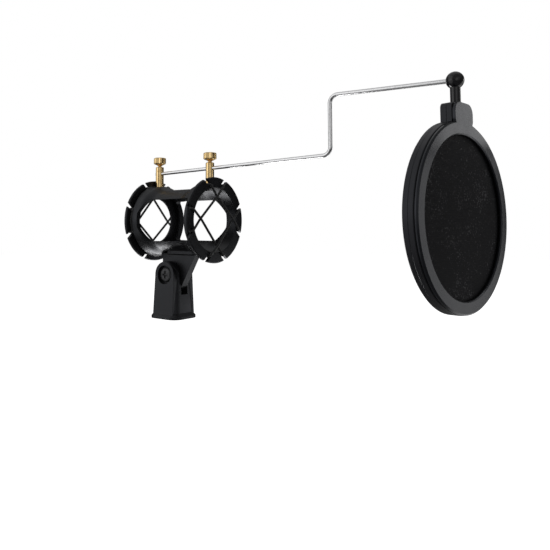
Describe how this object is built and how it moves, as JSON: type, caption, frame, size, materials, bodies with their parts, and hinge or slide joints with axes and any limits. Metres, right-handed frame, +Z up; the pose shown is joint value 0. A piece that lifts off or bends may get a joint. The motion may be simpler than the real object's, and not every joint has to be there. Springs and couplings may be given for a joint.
{
  "type": "pop filter",
  "caption": "Round double-mesh pop filter on a bent rod, clamped to a tubular elastic shock-mount cradle on a tilting stand adapter.",
  "frame": {"origin": "middle of the base's underside, on the axis of its stand thread", "axes": "+X along the microphone's axis toward the filter, +Y along the tilt pivot toward its nut, +Z up"},
  "size_m": [0.2413, 0.0997, 0.1474],
  "materials": {
    "satin_black": "satin",
    "shell_black": "satin",
    "plate_black": "satin",
    "gloss_black": "gloss",
    "mesh_black": "woven",
    "band_rubber": "matt",
    "brass": "satin",
    "chrome": "polished",
    "black_steel": "satin",
    "zinc_steel": "satin"
  },
  "bodies": {
    "base_body": {"swivel_base": "satin_black", "pivot_screw": "black_steel", "pivot_nut": "zinc_steel", "thread_insert": "brass"},
    "cradle_body": {"cradle": "satin_black", "front_elastic_band": "band_rubber", "rear_elastic_band": "band_rubber", "rear_post": "brass", "front_post": "brass", "post_screws": "zinc_steel"},
    "rear_thumb_body": {"rear_thumb_screw": "brass"},
    "front_thumb_body": {"front_thumb_screw": "brass"},
    "rod_body": {"rod": "chrome"},
    "ball_body": {"swivel_ball": "gloss_black", "swivel_stem": "gloss_black"},
    "filter_body": {"filter_rear_shell": "shell_black", "filter_front_shell": "shell_black", "front_plate": "plate_black", "rear_mesh": "mesh_black", "front_mesh": "mesh_black"}
  },
  "joints": [
    {"name": "cradle_tilt", "type": "hinge", "parent": "base_body", "child": "cradle_body", "pos_m": [0, 0, 0.0312], "axis": [0, 1, 0], "range_deg": [-70, 60]},
    {"name": "rear_thumb_turn", "type": "hinge", "parent": "cradle_body", "child": "rear_thumb_body", "pos_m": [-0.0157, 0, 0.1157], "axis": [0, 0, 1], "continuous": true},
    {"name": "front_thumb_turn", "type": "hinge", "parent": "cradle_body", "child": "front_thumb_body", "pos_m": [0.0347, 0, 0.1157], "axis": [0, 0, 1], "continuous": true},
    {"name": "rod_slide", "type": "slide", "parent": "cradle_body", "child": "rod_body", "axis": [0.9998, 0, 0.0218], "range_m": [-0.08, 0.002]},
    {"name": "ball_swing", "type": "hinge", "parent": "rod_body", "child": "ball_body", "pos_m": [0.2052, 0, 0.1427], "axis": [0.9992, 0, -0.0389], "range_deg": [-90, 90]},
    {"name": "filter_turn", "type": "hinge", "parent": "ball_body", "child": "filter_body", "pos_m": [0.2052, 0, 0.1427], "axis": [0, 0, 1], "continuous": true}
  ]
}
